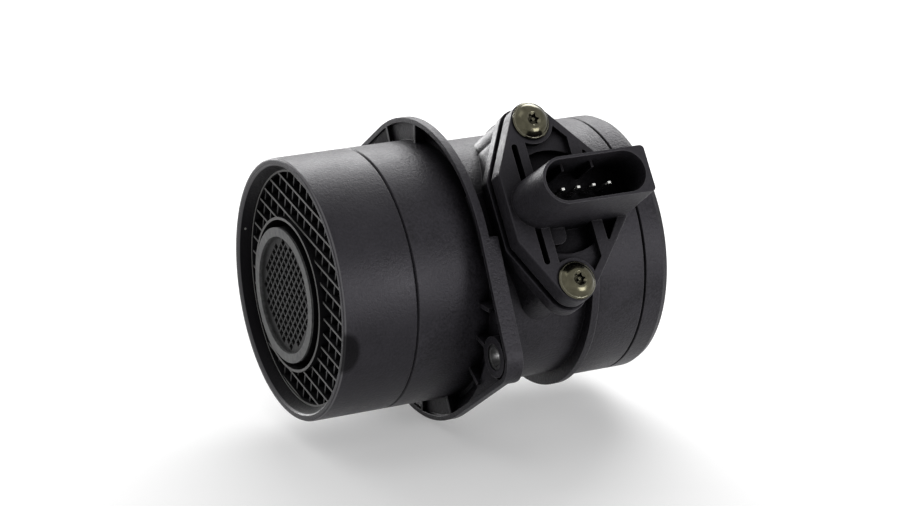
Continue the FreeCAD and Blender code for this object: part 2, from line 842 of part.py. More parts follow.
def recess_wire(height):
    # a six-lobed socket outline: round tips joined by hollow flanks
    def at(radius, angle):
        return V(radius * cos(angle), radius * sin(angle), height)

    edges = []
    count = 6
    step = 2.0 * pi / count
    half_lobe = 0.15 * step
    shoulder = 0.93 * recess_tip_radius
    for i in range(count):
        a = i * step
        start = at(shoulder, a - half_lobe)
        end = at(shoulder, a + half_lobe)
        edges.append(Part.Arc(start, at(recess_tip_radius, a), end).toShape())
        following = at(shoulder, a + step - half_lobe)
        edges.append(Part.Arc(end, at(recess_root_radius, a + 0.5 * step), following).toShape())
    return Part.Wire(edges)


def sensor_screw(side):
    # a domed head on a collar, with a six-lobed socket and a pin in its middle
    seat = plate_top
    collar = seat + collar_height
    crown = collar + dome_height
    rows = [(0.0, seat), (head_radius - head_chamfer, seat), (head_radius, seat + head_chamfer),
            (head_radius, collar - collar_chamfer), (head_radius - collar_chamfer, collar),
            (dome_radius + dome_foot, collar), (dome_radius, collar + dome_foot)]
    outline = [V(r, 0, h) for r, h in rows]
    edges = [Part.makeLine(outline[i], outline[i + 1]) for i in range(len(outline) - 1)]
    flat = recess_tip_radius + recess_countersink
    bulge = V(0.82 * dome_radius, 0, collar + 0.66 * dome_height)
    edges.append(Part.Arc(outline[-1], bulge, V(flat, 0, crown)).toShape())
    edges.append(Part.makeLine(V(flat, 0, crown), V(0, 0, crown)))
    edges.append(Part.makeLine(V(0, 0, crown), outline[0]))
    head = Part.Face(Part.Wire(edges)).revolve(V(0, 0, 0), V(0, 0, 1), 360)
    pin = post(pin_radius, crown - recess_depth - past, crown - pin_drop, 0.0, 0.0)
    socket = Part.Face(recess_wire(crown - recess_depth)).extrude(V(0, 0, recess_depth + past))
    countersink = Part.makeCone(recess_root_radius, flat, countersink_depth, V(0, 0, crown - countersink_depth))
    head = head.cut(socket.cut(pin)).cut(countersink.cut(pin))
    shank_end = seat - shank_length
    shank = post(shank_radius, shank_end, seat + bury, 0.0, 0.0)
    point = Part.makeCone(shank_radius - point_taper, shank_radius, point_length, V(0, 0, shank_end - point_length))
    screw = head.multiFuse([shank, point])
    screw.translate(V(screw_x, side * screw_half_pitch, 0))
    return to_pad(screw)


def flange_bushing(place):
    y, z = place
    front = flange_x + bushing_recess
    sleeve = rod(bushing_radius, front, flange_back, y, z)
    return sleeve.cut(rod(bushing_bore_radius, front - past, flange_back + past, y, z))


def build():
    far, near = ear_places()
    parts = {
        "main_housing": main_housing(),
        "inlet_sleeve": inlet_sleeve(),
        "inlet_grid": inlet_grid(),
        "measuring_tube": measuring_tube(),
        "fine_mesh": fine_mesh(),
        "sensor_body": sensor_body(),
        "pad_gasket": pad_gasket(),
        "probe_seal_ring": probe_seal_ring(),
        "probe_cover": probe_cover(),
        "circuit_board": circuit_board(),
        "carrier_plate": carrier_plate(),
        "sensing_element": sensing_element(),
        "air_temperature_bead": air_temperature_bead(),
        "upper_sensor_screw": sensor_screw(1.0),
        "lower_sensor_screw": sensor_screw(-1.0),
        "near_flange_bushing": flange_bushing(near),
        "far_flange_bushing": flange_bushing(far),
    }
    for i in range(terminal_count):
        parts["connector_terminal_%d" % (i + 1)] = to_pad(terminal(i))
    return parts


os.makedirs("parts", exist_ok=True)
for name, shape in build().items():
    shape.exportStep("parts/%s.step" % name)
    print(name, "solids", len(shape.Solids), "volume cm3", round(shape.Volume / 1000.0, 2), "valid", shape.isValid())
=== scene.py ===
# %% [markdown]
# # Dressing a mass airflow sensor
# The object is the airflow sensor of a car engine: a round black duct that air is drawn through, with a
# wide grid and a fine mesh in its mouth and a plug-in sensor screwed to its side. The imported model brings
# every solid at its real size. This lesson adds what a solid lacks: camera, light and the finish of each
# piece. Lengths are in metres and X runs along the duct from its inlet rim.

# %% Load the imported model
import math
import bpy
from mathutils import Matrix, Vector


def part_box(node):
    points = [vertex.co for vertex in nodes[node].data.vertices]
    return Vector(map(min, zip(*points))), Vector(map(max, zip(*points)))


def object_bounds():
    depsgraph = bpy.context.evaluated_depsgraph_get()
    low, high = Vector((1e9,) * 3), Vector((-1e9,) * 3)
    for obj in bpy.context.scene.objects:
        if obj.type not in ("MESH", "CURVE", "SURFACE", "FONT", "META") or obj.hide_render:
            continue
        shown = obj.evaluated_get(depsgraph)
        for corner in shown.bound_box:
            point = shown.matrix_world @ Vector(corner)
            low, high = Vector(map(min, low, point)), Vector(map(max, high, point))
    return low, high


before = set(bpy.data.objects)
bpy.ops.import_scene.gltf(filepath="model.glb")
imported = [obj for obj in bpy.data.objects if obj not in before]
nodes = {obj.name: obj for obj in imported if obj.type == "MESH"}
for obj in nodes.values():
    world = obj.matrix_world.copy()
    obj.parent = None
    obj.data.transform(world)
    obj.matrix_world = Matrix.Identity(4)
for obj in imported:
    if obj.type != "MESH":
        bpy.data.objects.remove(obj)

box_at_load = [list(corner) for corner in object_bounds()]
bpy.ops.object.select_all(action="DESELECT")
mm = 0.001
print("pieces loaded:", len(nodes), "box:", box_at_load)

# %% [markdown]
# ## Camera
# The photograph looks at the duct from its inlet side, a little from above, with a long lens. The place
# and heading come from the circles of the barrel: a circle seen from the side is an ellipse, and its tilt
# and width give the direction, while the way the far end shrinks gives the distance. A long lens from
# about a metre keeps the two ends nearly the same size, as they are in the photograph. Blender takes the
# lens and the film in millimetres.

# %% Camera
heading = math.radians(27.208)
dip = math.radians(17.903)
camera_place = (-0.37305, -0.84589, 0.31142)
lens = 115.03
film_width = 36.0
nearest_seen, farthest_seen = 0.01, 50.0

level_part = math.cos(dip)
view_direction = Vector((math.sin(heading) * level_part, math.cos(heading) * level_part, -math.sin(dip)))
camera_data = bpy.data.cameras.new("photograph_camera")
camera_data.lens = lens
camera_data.sensor_width = film_width
camera_data.clip_start = nearest_seen
camera_data.clip_end = farthest_seen
camera = bpy.data.objects.new("photograph_camera", camera_data)
bpy.context.scene.collection.objects.link(camera)
camera.location = camera_place
camera.rotation_mode = "QUATERNION"
camera.rotation_quaternion = view_direction.to_track_quat("-Z", "Y")
bpy.context.scene.camera = camera
bpy.context.scene.view_settings.view_transform = "Standard"
print("camera looks along", [round(v, 3) for v in view_direction])

# %% [markdown]
# ## Light
# Black plastic shows its shape by what it mirrors, so the size and place of the lamps matter more than
# their power. The photograph has a broad lamp behind and above, which draws the pale band along the top
# of the duct, a low one straight behind, which lightens the left edges of the sensor's pad, and a third
# in front at the height of the object, which lifts the near side. A weak fourth one overhead softens the
# shadows between them. A lamp's brightness is given here as radiance, the light a mirror would show, and
# turned into watts by its area: that way a lamp can be made larger without becoming brighter.

# %% Lamps
object_centre = Vector((0.062, -0.01, 0.0))


def soft_lamp(name, towards, distance, width, height, radiance):
    """A rectangular lamp that stands in one direction from the object and faces it."""
    data = bpy.data.lights.new(name, "AREA")
    data.shape = "RECTANGLE"
    data.size = width
    data.size_y = height
    data.energy = radiance * math.pi * width * height
    lamp = bpy.data.objects.new(name, data)
    bpy.context.scene.collection.objects.link(lamp)
    direction = Vector(towards).normalized()
    lamp.location = object_centre + direction * distance
    lamp.rotation_mode = "QUATERNION"
    lamp.rotation_quaternion = (-direction).to_track_quat("-Z", "Y")


soft_lamp("lamp_behind_above", towards=(0.43, 0.69, 0.58), distance=1.3,
          width=1.1, height=0.70, radiance=7.2)
soft_lamp("lamp_behind_low", towards=(-0.10, 0.99, 0.12), distance=1.4,
          width=0.6, height=0.35, radiance=18.0)
soft_lamp("lamp_front", towards=(0.43, -0.88, 0.11), distance=1.4,
          width=0.5, height=0.75, radiance=8.5)
soft_lamp("lamp_overhead", towards=(-0.3, -0.1, 1.0), distance=1.3,
          width=0.6, height=0.6, radiance=1.0)

# %% [markdown]
# ## Helpers for nodes
# The floor's paint, the world and every finish are networks of nodes. Wiring each by hand would fill the
# script with long lines, so four short helpers do it: one starts an empty material, one adds a node with
# its settings, one joins two nodes, and one hands the finished shader to the output.

# %% Helpers for nodes
def new_material(name):
    """An empty node material with its output."""
    material = bpy.data.materials.new(name)
    material.use_nodes = True
    material.node_tree.nodes.clear()
    material.node_tree.nodes.new("ShaderNodeOutputMaterial")
    return material


def add(owner, kind, **settings):
    """A node in a material or the world, with its settings and, as values, what its inputs hold."""
    node = owner.node_tree.nodes.new(kind)
    values = settings.pop("values", {})
    for key, value in settings.items():
        setattr(node, key, value)
    for key, value in values.items():
        node.inputs[key].default_value = value
    return node


def link(owner, source, output, target, socket):
    """A wire from one node's output to another's input."""
    owner.node_tree.links.new(source.outputs[output], target.inputs[socket])


def surface(material, shader):
    """Gives the finished shader to the material's output."""
    output = next(n for n in material.node_tree.nodes if n.type == "OUTPUT_MATERIAL")
    link(material, shader, 0, output, "Surface")


print("helpers for nodes: new_material, add, link, surface")

# %% [markdown]
# ## Floor and world
# The photograph stands on plain white. The floor is a wide disc in white paint, a hair below the lowest
# point of the object. Paint alone would come out light grey, and stronger lamps would bleach the object
# too, so the paint also glows a little, but only for rays from the camera, a mirror or through glass. The
# object's shadow still darkens it. The world has two levels in the same way: full white where it is seen
# or mirrored, and less than half of that as light on the object.

# %% Floor
floor_gap = 0.4 * mm
floor_radius = 6.0
floor_glow = 0.24
paint_white = (0.8, 0.8, 0.8, 1.0)
light_white = (1.0, 1.0, 1.0, 1.0)
floor_height = box_at_load[0][2] - floor_gap
under_object = (0.06, 0.0, floor_height)
bpy.ops.mesh.primitive_circle_add(vertices=96, radius=floor_radius, fill_type="NGON",
                                  location=under_object)
floor = bpy.context.object
floor.name = "floor"
bpy.ops.object.transform_apply(location=True, rotation=True, scale=True)


def seen_directly(owner):
    """One for rays from the camera, a mirror or through glass, and zero for all others."""
    path = add(owner, "ShaderNodeLightPath")
    either = add(owner, "ShaderNodeMath", operation="MAXIMUM")
    link(owner, path, "Is Camera Ray", either, 0)
    link(owner, path, "Is Glossy Ray", either, 1)
    all_three = add(owner, "ShaderNodeMath", operation="MAXIMUM")
    link(owner, either, 0, all_three, 0)
    link(owner, path, "Is Transmission Ray", all_three, 1)
    return all_three


paint = new_material("floor_paint")
matt = add(paint, "ShaderNodeBsdfDiffuse", values={"Color": paint_white})
glow = add(paint, "ShaderNodeEmission", values={"Color": light_white})
glow_level = add(paint, "ShaderNodeMath", operation="MULTIPLY", values={1: floor_glow})
link(paint, seen_directly(paint), 0, glow_level, 0)
link(paint, glow_level, 0, glow, "Strength")
glowing_paint = add(paint, "ShaderNodeAddShader")
link(paint, matt, 0, glowing_paint, 0)
link(paint, glow, 0, glowing_paint, 1)
surface(paint, glowing_paint)
floor.data.materials.append(paint)
print("floor at", round(floor_height / mm, 2), "mm")

# %% World
light_on_object = 0.42
white_where_seen = 1.0
world = bpy.data.worlds.new("studio")
bpy.context.scene.world = world
world.use_nodes = True
sky = next(n for n in world.node_tree.nodes if n.type == "BACKGROUND")
sky.inputs["Color"].default_value = light_white
sky_level = add(world, "ShaderNodeMapRange",
                values={"To Min": light_on_object, "To Max": white_where_seen})
link(world, seen_directly(world), 0, sky_level, "Value")
link(world, sky_level, "Result", sky, "Strength")
print("world:", light_on_object, "as light,", white_where_seen, "where it is seen")

# %% [markdown]
# ## Noise, ranges and colours
# A flat dark grey looks like paint, because a real moulding is never even. Each finish here starts from
# noise on the piece's own coordinates, so the pattern stays on the piece from every side. The part of the
# noise's range that it really fills is stretched, and then picks a colour or a roughness between two
# ends. Colours are mixed one over another, as a finish is laid on in coats.

# %% Noise, ranges and colours
usual_noise = (0.3, 0.7)


def object_coordinates(material):
    """The piece's own coordinates, in metres."""
    return add(material, "ShaderNodeTexCoord")


def noise(material, where, size, detail=2.0, roughness=0.5):
    """Noise whose blotches are about one size across, in metres."""
    node = add(material, "ShaderNodeTexNoise",
               values={"Scale": 1.0 / size, "Detail": detail, "Roughness": roughness})
    link(material, where, "Object", node, "Vector")
    return node


def span(material, source, output, low, high, to_low, to_high):
    """Maps one range of a value to another, and holds it at the ends."""
    node = add(material, "ShaderNodeMapRange",
               values={"From Min": low, "From Max": high, "To Min": to_low, "To Max": to_high})
    link(material, source, output, node, "Value")
    return node


def two_tone(material, factor, output, dark, pale):
    """A colour between two, by a factor."""
    ramp = add(material, "ShaderNodeValToRGB")
    ramp.color_ramp.elements[0].color = (*dark, 1.0)
    ramp.color_ramp.elements[1].color = (*pale, 1.0)
    link(material, factor, output, ramp, "Fac")
    return ramp


def mix_colour(material, factor, output, first, second, share):
    """Goes from the first node's colour to the second colour by a factor times a share."""
    scaled = add(material, "ShaderNodeMath", operation="MULTIPLY", values={1: share})
    link(material, factor, output, scaled, 0)
    mix = add(material, "ShaderNodeMix", data_type="RGBA")
    link(material, scaled, 0, mix, 0)
    material.node_tree.links.new(first, mix.inputs[6])
    mix.inputs[7].default_value = (*second, 1.0)
    return mix.outputs[2]


print("noise mostly lies between", *usual_noise)

# %% [markdown]
# ## Edges, grain and pockets
# The Bevel node rounds all sharp edges for the light only, which gives the thin pale lines that moulded
# edges have. Its normal is also compared with the true one: where the two differ the surface turns sharply,
# and a painted highlight is laid there as a paler colour. Grain is a bump of a given depth. Pockets and
# sockets look nearly black, so an Ambient Occlusion node measures how shut in a point is, and that sets
# painted shade in their colour and, for plastic, in the tint of the mirror light.

# %% Edges, grain and pockets
def rounded_edges(material, radius):
    """The Bevel node, and a mask for a painted highlight where its normal leans from the true one."""
    bevel = add(material, "ShaderNodeBevel", samples=6, values={"Radius": radius})
    geometry = add(material, "ShaderNodeNewGeometry")
    lean = add(material, "ShaderNodeVectorMath", operation="DOT_PRODUCT")
    link(material, bevel, "Normal", lean, 0)
    link(material, geometry, "Normal", lean, 1)
    # The mask for a painted highlight: where the bevel's normal leans away, the colour is made paler.
    on_a_face, on_an_edge = 0.995, 0.80
    edge_highlight_mask = span(material, lean, "Value", on_a_face, on_an_edge, 0.0, 1.0)
    return bevel, edge_highlight_mask


def raised(material, height, output, normal_source, depth, strength):
    """A bump of some depth in metres, on top of another normal if there is one."""
    bump = add(material, "ShaderNodeBump", values={"Strength": strength, "Distance": depth})
    link(material, height, output, bump, "Height")
    if normal_source is not None:
        link(material, normal_source, "Normal", bump, "Normal")
    return bump


def shut_in(material, reach):
    """One deep in a pocket and zero on an open face, for painted shade; it looks for walls within its
    reach.
    """
    sky_seen = add(material, "ShaderNodeAmbientOcclusion", samples=8, values={"Distance": reach})
    in_a_pocket, in_the_open = 0.35, 0.9
    return span(material, sky_seen, "AO", in_a_pocket, in_the_open, 1.0, 0.0)


print("helpers for shape: rounded_edges, raised, shut_in")

# %% [markdown]
# ## Moulded black plastic
# The duct, the grid and the sensor are glass-filled nylon, moulded in a tool with a fine spark-eroded
# grain. Two noises add up to its mottle: broad patches in which the colour drifts, and the grain, whose
# high points are a little paler. Colour and roughness both follow it. The same grain raises the surface,
# and so does a slow waviness, where a wall has shrunk as it cooled. Edges get a painted highlight, a paler
# colour, and pockets get painted shade in both the colour and the tint of the mirror light. The recipe also
# gives back four nodes, for the marks that some pieces carry.

# %% Plastic recipe
# deep_black is the near black that painted shade goes towards; the dark patch on the sleeve uses it too.
deep_black = (0.0015, 0.0014, 0.0017)
mirror_tint = (0.95, 0.92, 1.0)
# A paler grey for the painted highlight on edges.
edge_highlight_grey = (0.130, 0.127, 0.134)
patch_size = 14 * mm
wave_size = 22 * mm
wave_depth = 0.12 * mm
wave_strength = 0.25
grain_strength = 0.8
grain_in_mottle = 1.2
mottle_low, mottle_high = 0.82, 1.38
# How far painted shade in pockets takes the colour towards near black.
pocket_shade_share = 0.95


def moulded_plastic(name, dark, pale, smooth, rough, grain_size, grain_depth, edge_radius,
                    edge_highlight_colour=edge_highlight_grey, edge_highlight_share=0.6, specular=0.22, pocket_reach=7.0 * mm):
    """A moulded plastic, and the nodes that a mark may be added to."""
    material = new_material(name)
    where = object_coordinates(material)
    patches = noise(material, where, patch_size, detail=4.0, roughness=0.6)
    grain = noise(material, where, grain_size, detail=3.0, roughness=0.65)
    waves = noise(material, where, wave_size, detail=1.0)
    mottle = add(material, "ShaderNodeMath", operation="MULTIPLY_ADD", values={1: grain_in_mottle})
    link(material, grain, "Fac", mottle, 0)
    link(material, patches, "Fac", mottle, 2)
    paleness = span(material, mottle, 0, mottle_low, mottle_high, 0.0, 1.0)
    roughness = span(material, mottle, 0, mottle_low, mottle_high, smooth, rough)

    # Painted highlight on edges; painted shade in pockets, on the colour and on the tint of the mirror
    # light.
    bevel, edge_highlight_mask = rounded_edges(material, edge_radius)
    pocket = shut_in(material, pocket_reach)
    colour = two_tone(material, paleness, "Result", dark, pale).outputs["Color"]
    with_edge_highlights = mix_colour(material, edge_highlight_mask, "Result", colour, edge_highlight_colour, edge_highlight_share)
    with_pocket_shade = mix_colour(material, pocket, "Result", with_edge_highlights, deep_black, pocket_shade_share)
    mirror = two_tone(material, pocket, "Result", mirror_tint, deep_black)

    wavy = raised(material, waves, "Fac", bevel, wave_depth, wave_strength)
    grainy = raised(material, grain, "Fac", wavy, grain_depth, grain_strength)
    shader = add(material, "ShaderNodeBsdfPrincipled", values={"Specular IOR Level": specular})
    material.node_tree.links.new(with_pocket_shade, shader.inputs["Base Color"])
    link(material, mirror, "Color", shader, "Specular Tint")
    link(material, roughness, "Result", shader, "Roughness")
    link(material, grainy, "Normal", shader, "Normal")
    surface(material, shader)
    return material, {"where": where, "shader": shader, "grain": grain, "grain_bump": grainy}


print("plastic recipe: patches of", patch_size / mm, "mm and waves of", wave_size / mm, "mm")

# %% [markdown]
# ## Putting a finish on
# A CAD piece keeps its mesh and takes the finish into its material slots. A mark, such as painted shade,
# a painted highlight or a pale speck, is a coat over a finish: it covers whatever already feeds the colour
# or the tint of the mirror light, wherever its own factor is one.

# %% Putting a finish on
def dress(material, *names):
    """Puts a material on CAD pieces by their names."""
    for name in names:
        slots = nodes[name].data.materials
        if len(slots) == 0:
            slots.append(material)
        for i in range(len(slots)):
            slots[i] = material
    print(material.name, "on", ", ".join(names))


def coat(material, parts, socket, factor, colour, share):
    """Lays a colour over what already feeds a colour socket of the shader."""
    shader = parts["shader"]
    before = shader.inputs[socket].links[0].from_socket
    after = mix_colour(material, factor, "Result", before, colour, share)
    material.node_tree.links.new(after, shader.inputs[socket])


print("helpers for finishes: dress, coat")

# %% [markdown]
# ## The housing
# The housing and the sleeve are two mouldings of the same plastic. The housing's grain is coarse where it
# meets the flange and fades towards the seam, so the height of the grain is multiplied by a value that
# grows along X. Inside, the walls of both get painted shade: a darker colour and a darker mirror tint. It
# is not drawn by hand: it lies wherever a point is nearer to the duct's axis than the middle of the wall.

# %% Marks that follow the duct
def along_duct(material, where, start, end, at_start, at_end):
    """Goes from one value to another between two places along X, in millimetres."""
    place = add(material, "ShaderNodeSeparateXYZ")
    link(material, where, "Object", place, 0)
    return span(material, place, "X", start * mm, end * mm, at_start, at_end)


def within(material, where, radius, y=0.0, z=0.0):
    """One nearer to an axis along the duct than a radius, zero outside; lengths in millimetres."""
    across = add(material, "ShaderNodeMapping",
                 values={"Scale": (0.0, 1.0, 1.0), "Location": (0.0, -y * mm, -z * mm)})
    link(material, where, "Object", across, "Vector")
    away = add(material, "ShaderNodeVectorMath", operation="LENGTH")
    link(material, across, "Vector", away, 0)
    soft_edge = 0.15
    return span(material, away, "Value", (radius - soft_edge) * mm, (radius + soft_edge) * mm, 1.0, 0.0)


def bore_shade(material, parts, radius):
    """Painted shade on the walls inside a radius in millimetres: a darker colour and a darker mirror tint.
    """
    inside = within(material, parts["where"], radius)
    coat(material, parts, "Base Color", inside, deep_black, share=0.85)
    coat(material, parts, "Specular Tint", inside, deep_black, share=0.8)


print("marks that follow the duct: along_duct, within, bore_shade")

# %% Housing
housing, parts = moulded_plastic(
    "housing_plastic", dark=(0.0070, 0.0065, 0.0080), pale=(0.0270, 0.0253, 0.0303),
    smooth=0.36, rough=0.52, grain_size=0.9 * mm, grain_depth=0.24 * mm, edge_radius=0.45 * mm)
housing_wall_middle = 42.5
near_seam, near_flange = 26, 42
faded_grain, full_grain = 0.35, 1.0
coarseness = along_duct(housing, parts["where"], near_seam, near_flange, faded_grain, full_grain)
height = add(housing, "ShaderNodeMath", operation="MULTIPLY")
link(housing, parts["grain"], "Fac", height, 0)
link(housing, coarseness, "Result", height, 1)
link(housing, height, 0, parts["grain_bump"], "Height")
# Painted shade inside the bore.
bore_shade(housing, parts, housing_wall_middle)
dress(housing, "main_housing")

# %% [markdown]
# ## The sleeve
# The sleeve is the smoother of the two. Both edges of its rim get a painted highlight, a paler colour.
# They are the faces that look half out of the inlet within the first millimetre, so two readings of the
# normal and one of X find them. The sleeve also has a darker, duller patch that wraps round its rim, and a
# tiny pale speck inside. These two are soft spots: the distance to a point on the wall, stretched to the
# mark's size and broken up by noise.

# %% Marks on the rim
def facing_inlet(material, where, low, high):
    """One on faces that look out of the inlet by more than the high value, zero below the low one."""
    look = add(material, "ShaderNodeVectorMath", operation="DOT_PRODUCT", values={1: (-1.0, 0.0, 0.0)})
    link(material, where, "Normal", look, 0)
    return span(material, look, "Value", low, high, 0.0, 1.0)


def product(material, first, second):
    """Two factors multiplied, with an output of the same name as theirs."""
    both_factors = add(material, "ShaderNodeMath", operation="MULTIPLY")
    link(material, first, "Result", both_factors, 0)
    link(material, second, "Result", both_factors, 1)
    return span(material, both_factors, 0, 0.0, 1.0, 0.0, 1.0)


def spot(material, where, centre, size, break_up):
    """One inside a soft-edged blotch, zero outside; its centre and half sizes are in millimetres."""
    scale = [1.0 / (s * mm) for s in size]
    shifted = add(material, "ShaderNodeMapping",
                  values={"Scale": scale, "Location": [-c * mm * s for c, s in zip(centre, scale)]})
    link(material, where, "Object", shifted, "Vector")
    away = add(material, "ShaderNodeVectorMath", operation="LENGTH")
    link(material, shifted, "Vector", away, 0)
    ragged = noise(material, where, size=2.5 * mm, detail=3.0)
    uneven = add(material, "ShaderNodeMath", operation="MULTIPLY_ADD", values={1: break_up})
    link(material, ragged, "Fac", uneven, 0)
    link(material, away, "Value", uneven, 2)
    fade_start, fade_end = 0.85, 1.1
    return span(material, uneven, 0, fade_start, fade_end, 1.0, 0.0)


print("marks on the rim: facing_inlet, product, spot")

# %% Sleeve
sleeve, parts = moulded_plastic(
    "sleeve_plastic", dark=(0.0105, 0.0097, 0.0120), pale=(0.0205, 0.0192, 0.0230),
    smooth=0.34, rough=0.48, grain_size=0.9 * mm, grain_depth=0.14 * mm, edge_radius=0.45 * mm)
sleeve_wall_middle = 43.3
# Painted shade inside the bore.
bore_shade(sleeve, parts, sleeve_wall_middle)

# Painted highlight on both edges of the rim, as a paler grey.
rim_highlight_grey = (0.150, 0.147, 0.154)
where = parts["where"]
turned_out = facing_inlet(sleeve, where, low=0.2, high=0.45)
flat_face = facing_inlet(sleeve, where, low=0.8, high=0.95)
not_flat = span(sleeve, flat_face, "Result", 0.0, 1.0, to_low=1.0, to_high=0.0)
first_millimetre = along_duct(sleeve, where, start=0.6, end=0.85, at_start=1.0, at_end=0.0)
rim_highlight = product(sleeve, product(sleeve, turned_out, not_flat), first_millimetre)
coat(sleeve, parts, "Base Color", rim_highlight, rim_highlight_grey, share=0.75)

# A darker patch with a duller mirror tint, round the rim.
dark_patch = spot(sleeve, where, centre=(0.6, -44.0, -9.0), size=(5.8, 12.0, 8.2), break_up=0.15)
coat(sleeve, parts, "Base Color", dark_patch, deep_black, share=0.8)
coat(sleeve, parts, "Specular Tint", dark_patch, deep_black, share=0.7)

speck_grey = (0.22, 0.22, 0.21)
speck = spot(sleeve, where, centre=(2.2, 41.3, 10.3), size=(0.45, 1.5, 0.6), break_up=0.1)
coat(sleeve, parts, "Base Color", speck, speck_grey, share=0.9)
dress(sleeve, "inlet_sleeve")

# %% [markdown]
# ## Grid, guide ring and measuring tube
# The wide grid and its guide ring are plain moulded bars just under a millimetre wide. Their front faces
# get a painted highlight, a pale grey, and the walls behind get painted shade that makes them nearly
# black. Which face looks out of the inlet is read from its normal, so the painted highlight lies on exactly
# those. The cross bars stand a little behind the long ones and get less of it, so it fades with X.

# %% Grid and tube
grid, parts = moulded_plastic(
    "grid_plastic", dark=(0.0035, 0.0035, 0.0038), pale=(0.0075, 0.0073, 0.0080),
    smooth=0.45, rough=0.60, grain_size=0.6 * mm, grain_depth=0.02 * mm, edge_radius=0.12 * mm,
    edge_highlight_colour=(0.07, 0.07, 0.07), edge_highlight_share=0.4, pocket_reach=3.0 * mm)
# Painted highlight on the faces that look out of the inlet.
front_highlight_grey = (0.140, 0.139, 0.135)
highlight_on_cross_bars = 0.3
where = parts["where"]
front_faces = facing_inlet(grid, where, low=0.6, high=0.9)
less_behind = along_duct(grid, where, start=4.9, end=5.4, at_start=1.0, at_end=highlight_on_cross_bars)
coat(grid, parts, "Base Color", product(grid, front_faces, less_behind), front_highlight_grey, share=0.85)
dress(grid, "inlet_grid")

tube, _ = moulded_plastic(
    "tube_plastic", dark=(0.004, 0.004, 0.0045), pale=(0.009, 0.009, 0.0095),
    smooth=0.38, rough=0.52, grain_size=0.6 * mm, grain_depth=0.02 * mm, edge_radius=0.3 * mm)
dress(tube, "measuring_tube")

# %% [markdown]
# ## Fine mesh
# The insert in the measuring tube is moulded in a natural grey plastic, clearly paler than the rest. Its
# rim is matt and mottled. The webs between the holes are dull and dark, with only a thin pale line on
# each edge, so the middle of the insert gets its own darker colour inside a circle round its axis, which
# is measured from the piece's box.

# %% Fine mesh
insert, parts = moulded_plastic(
    "mesh_plastic", dark=(0.070, 0.072, 0.072), pale=(0.155, 0.157, 0.154),
    smooth=0.50, rough=0.66, grain_size=1.6 * mm, grain_depth=0.05 * mm, edge_radius=0.15 * mm,
    edge_highlight_colour=(0.20, 0.20, 0.195), edge_highlight_share=0.5, pocket_reach=1.8 * mm)
low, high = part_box("fine_mesh")
mesh_y = (low[1] + high[1]) / 2 / mm
mesh_z = (low[2] + high[2]) / 2 / mm
mesh_radius = (high[2] - low[2]) / 2 / mm
plain_rim = 3.4
web_grey = (0.012, 0.012, 0.012)
webs = within(insert, parts["where"], mesh_radius - plain_rim, mesh_y, mesh_z)
coat(insert, parts, "Base Color", webs, web_grey, share=0.86)
coat(insert, parts, "Specular Tint", webs, deep_black, share=0.6)
print("mesh insert: radius", round(mesh_radius, 2), "mm, axis at", round(mesh_y, 2), round(mesh_z, 2))
dress(insert, "fine_mesh")

# %% [markdown]
# ## Sensor moulding
# Plate, connector and probe are one part in a plastic with a slightly coarser grain than the duct. The
# pockets in the plate keep it from sinking, and their thin walls get a painted highlight along their edges.
# They are wider than the other pockets of the object, so the search for walls round a point, which sets
# their painted shade, reaches twice as far. The lid of the probe is a smoother moulding of its own.

# %% Sensor moulding and its cover
sensor, _ = moulded_plastic(
    "sensor_plastic", dark=(0.0130, 0.0122, 0.0145), pale=(0.0235, 0.0221, 0.0260),
    smooth=0.40, rough=0.56, grain_size=1.0 * mm, grain_depth=0.22 * mm, edge_radius=0.45 * mm,
    edge_highlight_colour=(0.125, 0.121, 0.128), pocket_reach=14.0 * mm)
dress(sensor, "sensor_body")

cover, _ = moulded_plastic(
    "cover_plastic", dark=(0.008, 0.008, 0.009), pale=(0.014, 0.014, 0.015),
    smooth=0.28, rough=0.42, grain_size=0.9 * mm, grain_depth=0.02 * mm, edge_radius=0.25 * mm)
dress(cover, "probe_cover")

# %% [markdown]
# ## Rubber seals
# Rubber is darker and duller than the plastic and has almost no clear reflection. A rough surface with a
# little sheen, and a dusting that settles in patches, keeps it from looking like the same material.

# %% Rubber
rubber = new_material("seal_rubber")
where = object_coordinates(rubber)
dusting = noise(rubber, where, size=5 * mm, detail=5.0, roughness=0.7)
fine_grain = noise(rubber, where, size=0.35 * mm)
bevel, edge_highlight_mask = rounded_edges(rubber, radius=0.25 * mm)
clean, dusty = (0.006, 0.006, 0.006), (0.018, 0.018, 0.017)
rubber_edge_highlight = (0.035, 0.035, 0.034)
colour = two_tone(rubber, dusting, "Fac", clean, dusty).outputs["Color"]
# Painted highlight on the edges, as a paler grey.
with_edge_highlights = mix_colour(rubber, edge_highlight_mask, "Result", colour, rubber_edge_highlight, share=0.4)
dullness = span(rubber, dusting, "Fac", *usual_noise, to_low=0.62, to_high=0.82)
grainy = raised(rubber, fine_grain, "Fac", bevel, depth=0.02 * mm, strength=0.4)
shader = add(rubber, "ShaderNodeBsdfPrincipled",
             values={"Specular IOR Level": 0.25, "Sheen Weight": 0.08, "Sheen Roughness": 0.5})
rubber.node_tree.links.new(with_edge_highlights, shader.inputs["Base Color"])
link(rubber, dullness, "Result", shader, "Roughness")
link(rubber, grainy, "Normal", shader, "Normal")
surface(rubber, shader)
dress(rubber, "pad_gasket", "probe_seal_ring")

# %% [markdown]
# ## Metals
# The screws are steel with a yellowish zinc plating, turned and then tumbled, so the reflections are
# clear but soft. The bushings are dull plated steel and the four blades are bright tin. One recipe serves
# all: a patchy noise gives the colour and the roughness, and a second one the fine scratches. Scratches
# run along a piece where that noise is stretched, and its scale gives how many there are to a metre along
# X, Y and Z. Edges get a painted highlight, and sockets and holes get painted shade, as in the plastic.

# %% Metal recipe
# Painted shade: recesses within this reach are darkened towards near black.
recess_reach = 1.5 * mm
recess_shade_share = 0.9
scratch_strength = 0.4


